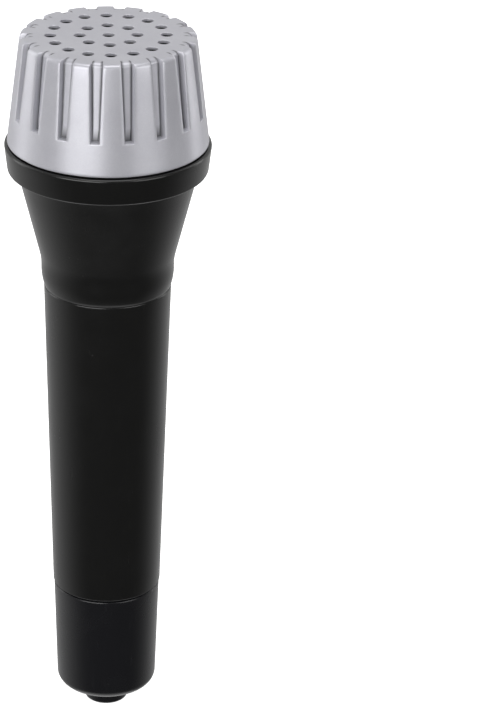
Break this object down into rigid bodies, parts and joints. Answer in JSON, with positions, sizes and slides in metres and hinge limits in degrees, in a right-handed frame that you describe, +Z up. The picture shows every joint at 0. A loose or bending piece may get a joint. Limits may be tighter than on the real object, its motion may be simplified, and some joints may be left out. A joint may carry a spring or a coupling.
{
  "type": "toy echo microphone",
  "caption": "Toy hand microphone with a fluted, perforated crown on a flared neck, a tapered handle with a pull-off end cap, and an echo spring behind a floating voice dish.",
  "frame": {"origin": "centre of the tail nub's flat underside, the lowest point of the microphone", "axes": "+Z up the axis to the crown's flat top; -Y is the side that faces the viewer, where a hole and a land of the crown line up; +X to the viewer's right"},
  "size_m": [0.0384, 0.0384, 0.1397],
  "materials": {
    "silver_shell": "satin silver paint on moulded plastic",
    "black_shell": "satin moulded plastic",
    "cap_shell": "satin moulded plastic, very slightly bluish",
    "dish_film": "milky thermoformed plastic",
    "natural_plastic": "uncoloured moulded plastic",
    "spring_steel": "drawn spring wire"
  },
  "bodies": {
    "handle": {"handle_tube": "black_shell", "horn_neck": "black_shell", "diaphragm_ring": "natural_plastic", "tail_bridge": "natural_plastic", "tail_stud": "natural_plastic", "echo_spring": "spring_steel"},
    "crown": {"grille_crown": "silver_shell"},
    "cap": {"end_cap": "cap_shell"},
    "dish": {"voice_diaphragm": "dish_film", "voice_stud": "natural_plastic"}
  },
  "joints": [
    {"name": "crown_pull", "type": "slide", "parent": "handle", "child": "crown", "axis": [0, 0, 1], "range_m": [0, 0.014]},
    {"name": "cap_pull", "type": "slide", "parent": "handle", "child": "cap", "axis": [0, 0, -1], "range_m": [0, 0.014]},
    {"name": "dish_travel", "type": "slide", "parent": "handle", "child": "dish", "axis": [0, 0, 1], "range_m": [-0.0006, 0.0006], "stiffness_N_per_m": 65, "deforming": ["echo_spring"]}
  ]
}
